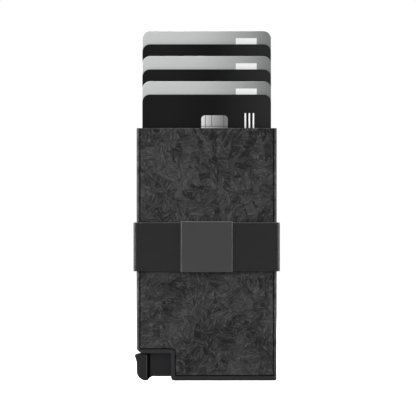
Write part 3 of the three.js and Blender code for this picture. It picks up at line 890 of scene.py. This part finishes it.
class WALLET_OT_chips(WalletStep, bpy.types.Operator):
    """Model one chip's contact plate, and copy it for every card"""

    bl_idname = "wallet.chips"
    bl_label = "Chips"

    def execute(self, context):
        sizes, colours = self.given(context)
        low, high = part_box("chip_1")
        chip = block("chip_1_plate", low, high)
        round_edges(chip, along(1), sizes.chip_corner, 6)
        groove, depth = 0.13 * MM, 0.1 * MM
        near, far = low.y - MM, low.y + depth
        middle = (low + high) / 2

        def line(x0, z0, x1, z1):
            """A tool for a straight groove between two (x, z) places."""
            return block("tool", (x0 - groove, near, z0 - groove), (x1 + groove, far, z1 + groove))

        left, right = low.x - MM, high.x + MM
        bottom, top = low.z - MM, high.z + MM
        column, split, row = 1.7 * MM, 1.2 * MM, 1.4 * MM
        cut(
            chip,
            line(low.x + column, bottom, low.x + column, top),
            line(high.x - column, bottom, high.x - column, top),
            line(middle.x - split, middle.z + row, middle.x - split, top),
            line(middle.x - split, bottom, middle.x - split, middle.z - row),
            line(left, middle.z - row, right, middle.z - row),
            line(left, middle.z + row, right, middle.z + row),
        )
        for face in chip.data.polygons:
            deep = low.y + depth / 2 < face.center.y < high.y - depth / 4
            face.material_index = int(deep and abs(face.normal.y) > 0.9)
        chips = [chip]
        for number in range(2, CARD_COUNT + 1):
            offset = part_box(f"chip_{number}")[0] - low
            chips.append(copied(chip, f"chip_{number}_plate", offset))
        finish = chip_finish(colours)
        seam = blasted_metal("chip_seam", colours.seam, 0.2, 0.6)
        for number, piece in enumerate(chips, 1):
            grooves = [face.material_index for face in piece.data.polygons]
            place(piece, f"card_{number}", "chip_metal", finish, f"chip_{number}")
            piece.data.materials.append(seam)
            piece.data.polygons.foreach_set("material_index", grooves)
        return {"FINISHED"}


class WALLET_OT_screws(WalletStep, bpy.types.Operator):
    """Model the four socket screws"""

    bl_idname = "wallet.screws"
    bl_label = "Screws"

    def execute(self, context):
        _, colours = self.given(context)
        finish = bright_steel("dark_screw", colours.screw, 0.4, 0.8)
        head, head_height, head_edge = 1.0 * MM, 0.5 * MM, 0.15 * MM
        shank, shank_length = 0.6 * MM, 4.5 * MM
        socket, socket_depth = 0.45 * MM, 0.35 * MM
        upright, inward = Vector((0, 0, 1)), Vector((0, -1, 0))
        for name, axis in (
            ("base_screw_left", upright),
            ("base_screw_right", upright),
            ("cover_screw_left", inward),
            ("cover_screw_right", inward),
        ):
            low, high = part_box(name)
            face = middle_of(name)
            if axis == upright:
                face.z = low.z
            else:
                face.y = high.y
            screw = bar(f"{name}_turned", face, face + axis * head_height, head)
            outside = face.dot(axis)

            def rim(a, b, axis=axis, outside=outside):
                return all(abs(p.dot(axis) - outside) < 0.01 * MM for p in (a, b))

            round_edges(screw, rim, head_edge, 3)
            join(screw, bar("tool", face, face + axis * shank_length, shank, 24))
            cut(screw, bar("tool", face - axis * MM, face + axis * socket_depth, socket, 6))
            soften(screw, 0.03 * MM)
            place(screw, "case", "dark_screw", finish, name)
        return {"FINISHED"}


class WALLET_OT_return_spring(WalletStep, bpy.types.Operator):
    """Model the coil that pushes the trigger back"""

    bl_idname = "wallet.return_spring"
    bl_label = "Return Spring"

    def execute(self, context):
        sizes, colours = self.given(context)
        low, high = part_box("return_spring")
        middle = middle_of("return_spring")
        turns, wire_sides, steps = 9, 10, 28
        wire = sizes.wire
        radius = (high.z - low.z) / 2 - wire
        run = high.x - low.x - 2 * wire
        bpy.ops.object.select_all(action="DESELECT")
        bpy.ops.mesh.primitive_circle_add(
            vertices=wire_sides,
            radius=wire,
            fill_type="NOTHING",
            location=(0, 0, radius),
            rotation=(math.radians(90), 0, 0),
        )
        coil = settle("return_coil")
        apply_modifier(
            coil,
            "SCREW",
            axis="X",
            angle=2 * math.pi,
            screw_offset=run / turns,
            iterations=turns,
            steps=steps,
            render_steps=steps,
            use_merge_vertices=False,
            use_normal_calculate=True,
        )
        bpy.ops.object.mode_set(mode="EDIT")
        bpy.ops.mesh.select_mode(type="EDGE")
        bpy.ops.mesh.select_all(action="DESELECT")
        bpy.ops.mesh.select_non_manifold(extend=False)
        bpy.ops.mesh.edge_face_add()
        bpy.ops.mesh.select_all(action="SELECT")
        bpy.ops.mesh.normals_make_consistent(inside=False)
        bpy.ops.object.mode_set(mode="OBJECT")
        bpy.ops.transform.translate(value=(low.x + wire, middle.y, middle.z))
        coil = settle("return_coil")
        bpy.ops.object.shade_smooth()
        coil.data.materials.append(bright_steel("spring_steel_wire", colours.steel, 0.28))
        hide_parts("return_spring")
        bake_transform(coil)
        return {"FINISHED"}


class WALLET_OT_mechanism(WalletStep, bpy.types.Operator):
    """Finish the parts inside the case: cover, lever, pins, washers, springs and liners"""

    bl_idname = "wallet.mechanism"
    bl_label = "Mechanism"

    def execute(self, context):
        _, colours = self.given(context)
        rolled = bright_steel("rolled_steel", colours.steel, 0.34)
        sprung = bright_steel("leaf_steel", colours.steel, 0.26)
        stamped = bright_steel("lever_steel", colours.lever, 0.42)
        rubber = blasted_metal("liner_rubber", colours.liner, 0.0, 0.8)
        plates = ("tray_cover", "washer_front", "washer_rear")
        pins = ("pivot_pin", "drive_pin", "leaf_rivet_inner", "leaf_rivet_outer", "spring_rod")
        leaves = [f"lever_leaf_{number}" for number in range(1, CARD_COUNT + 1)]
        for finish, nodes in (
            (rolled, plates + pins),
            (sprung, ("leaf_spring_left", "leaf_spring_right")),
            (stamped, leaves),
            (rubber, ("liner_left", "liner_right")),
        ):
            for node in nodes:
                finish_node(node, finish)
        return {"FINISHED"}


# Stage ---------------------------------------------------------------------------------------

SOFT_BOXES = [
    # name, place (m), size (m), power (W)
    ("key", (-0.7, -0.7, 0.7), (0.6, 0.6), 8.6),
    ("fill", (0.85, -0.6, 0.45), (0.5, 0.7), 3.4),
    ("top", (0.0, 0.0, 1.0), (0.8, 0.4), 14.0),
    ("left_edge", (-0.75, -0.06, 0.15), (0.16, 0.8), 11.0),
    ("right_edge", (0.75, -0.06, 0.15), (0.16, 0.8), 7.5),
    ("back", (0.1, 0.9, 0.5), (0.6, 0.6), 5.0),
]


WHITE = (1, 1, 1, 1)
UNSEEN_FLOOR = 0.36  # how bright the paper is to everything but the camera
UNSEEN_ROOM = 0.12  # and how bright the room is


class WALLET_OT_stage(WalletStep, bpy.types.Operator):
    """Lay the pale floor, hang the soft lights and set up the camera"""

    bl_idname = "wallet.stage"
    bl_label = "Stage"

    def execute(self, context):
        _, colours = self.given(context)
        self.lay_floor(colours)
        self.hang_lights()
        self.light_room(context.scene)
        self.set_camera(context.scene)
        return {"FINISHED"}

    def lay_floor(self, colours):
        """A sheet of pale paper, which the camera sees brighter than the wallet does."""
        bpy.ops.object.select_all(action="DESELECT")
        bpy.ops.mesh.primitive_plane_add(size=6.0, location=(0, 0, cad_low.z))
        floor = settle("studio_floor")
        paper = Finish("floor_paper", Roughness=0.9, Specular_IOR_Level=0.0)
        fibre = paper.vary(paper.noise(paper.place(), 0.8, 3), 0.99, 1.01)
        seen = paper.add("ShaderNodeLightPath").outputs["Is Camera Ray"]
        tone = paper.math("MULTIPLY", paper.mix(seen, UNSEEN_FLOOR, 1.0), fibre)
        shade = paper.tint(colours.floor, tone)
        away = paper.add("ShaderNodeVectorMath", {0: paper.object}, operation="LENGTH").outputs[1]
        near, far = 0.03, 0.3  # metres from the wallet, where the shadow fades to white
        fade = paper.remap(away, near, far, 0.55, 1.0, smooth=True)
        glow = paper.math("MULTIPLY", seen, fade)
        paper.tree.links.new(glow, paper.shader.inputs["Emission Strength"])
        paper.shader.inputs["Emission Color"].default_value = WHITE
        floor.data.materials.append(paper.finish(shade))

    def hang_lights(self):
        """The soft boxes, all turned to the middle of the wallet."""
        target = Vector((0, 0, 0.07))
        for name, spot, size, power in SOFT_BOXES:
            bpy.ops.object.light_add(type="AREA", location=spot)
            lamp = bpy.context.object
            lamp.name = name
            lamp.data.shape = "RECTANGLE"
            lamp.data.size, lamp.data.size_y = size
            lamp.data.energy = power
            lamp.rotation_euler = (target - lamp.location).to_track_quat("-Z", "Y").to_euler()
            lamp.visible_camera = False

    def light_room(self, scene):
        """A white backdrop that lights the wallet only a little."""
        world = bpy.data.worlds.new("studio")
        world.use_nodes = True
        scene.world = world
        nodes, links = world.node_tree.nodes, world.node_tree.links
        path = nodes.new("ShaderNodeLightPath")
        strength = nodes.new("ShaderNodeMapRange")
        strength.inputs[3].default_value = UNSEEN_ROOM
        strength.inputs[4].default_value = 1.0
        links.new(path.outputs["Is Camera Ray"], strength.inputs[0])
        nodes["Background"].inputs[0].default_value = WHITE
        links.new(strength.outputs[0], nodes["Background"].inputs[1])
        scene.view_settings.view_transform = "Standard"

    def set_camera(self, scene):
        """A long lens, square to the front."""
        lens, sensor, width = 400.0, 36.0, 174.64 * MM  # width is what the view takes in
        distance = width * lens / sensor
        centre = Vector((0.55 * MM, 0.0, 72.33 * MM))
        bpy.ops.object.camera_add(
            location=centre - Vector((0, distance, 0)), rotation=(math.radians(90), 0, 0)
        )
        camera = bpy.context.object
        camera.data.lens = lens
        camera.data.sensor_width = sensor
        camera.data.clip_end = 20.0
        scene.camera = camera


class WALLET_PT_panel(bpy.types.Panel):
    """Lists the wallet's sizes, colours and steps"""

    bl_label = "Wallet"
    bl_space_type = "VIEW_3D"
    bl_region_type = "UI"
    bl_category = "Wallet"

    def draw(self, context):
        layout = self.layout
        for group in (context.scene.wallet_sizes, context.scene.wallet_colours):
            column = layout.column()
            for name in group.__annotations__:
                column.prop(group, name)
        for step in STEPS:
            layout.operator(step.bl_idname)


STEPS = (
    WALLET_OT_case_rails,
    WALLET_OT_face_panels,
    WALLET_OT_end_block,
    WALLET_OT_trigger,
    WALLET_OT_strap,
    WALLET_OT_strap_plate,
    WALLET_OT_cards,
    WALLET_OT_chips,
    WALLET_OT_screws,
    WALLET_OT_return_spring,
    WALLET_OT_mechanism,
    WALLET_OT_stage,
)
CLASSES = (WalletSizes, WalletColours, *STEPS, WALLET_PT_panel)


def register():
    for item in CLASSES:
        bpy.utils.register_class(item)
    bpy.types.Scene.wallet_sizes = PointerProperty(type=WalletSizes)
    bpy.types.Scene.wallet_colours = PointerProperty(type=WalletColours)


def unregister():
    del bpy.types.Scene.wallet_colours
    del bpy.types.Scene.wallet_sizes
    for item in reversed(CLASSES):
        bpy.utils.unregister_class(item)


def main():
    """Registers the add-on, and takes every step."""
    register()
    for step in STEPS:
        group, name = step.bl_idname.split(".")
        getattr(getattr(bpy.ops, group), name)()


if __name__ == "__main__":
    main()
